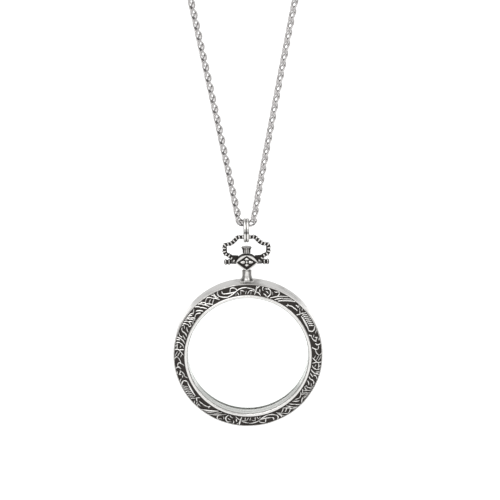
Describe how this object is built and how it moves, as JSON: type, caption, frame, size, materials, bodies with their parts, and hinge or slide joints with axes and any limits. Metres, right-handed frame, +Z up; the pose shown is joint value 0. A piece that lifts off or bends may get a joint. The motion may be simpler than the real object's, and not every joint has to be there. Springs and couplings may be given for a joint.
{
  "type": "magnifier pendant",
  "caption": "Round magnifying lens in a deep polished case with a band of raised scrollwork, hung by a beaded bow and a double ring on a long rope chain.",
  "frame": {"origin": "inner side of the clasp, where the chain rests on the wearer's nape", "axes": "+Z up, front of the pendant faces -Y, +X to the right as seen from the front"},
  "size_m": [0.118, 0.1393, 0.3541],
  "materials": {
    "polished_silver": "polished plated metal",
    "darkened_silver": "raised lines polished, ground darkened",
    "chain_silver": "polished wire",
    "glass": "clear polished glass"
  },
  "bodies": {
    "chain": {"chain_left": "chain_silver", "chain_right": "chain_silver", "clasp": "polished_silver"},
    "bail": {"bail_ring": "polished_silver"},
    "pendant": {"case_ring": "polished_silver", "scroll_bezel": "darkened_silver", "lens": "glass", "hanger": "darkened_silver", "crown": "polished_silver"}
  },
  "joints": [
    {"name": "bail_swing", "type": "hinge", "parent": "chain", "child": "bail", "pos_m": [0, -0.1319, -0.29], "axis": [1, 0, 0], "range_deg": [-80, 80]},
    {"name": "pendant_swing", "type": "hinge", "parent": "bail", "child": "pendant", "pos_m": [0, -0.1319, -0.29384], "axis": [1, 0, 0], "range_deg": [-68, 68]}
  ]
}
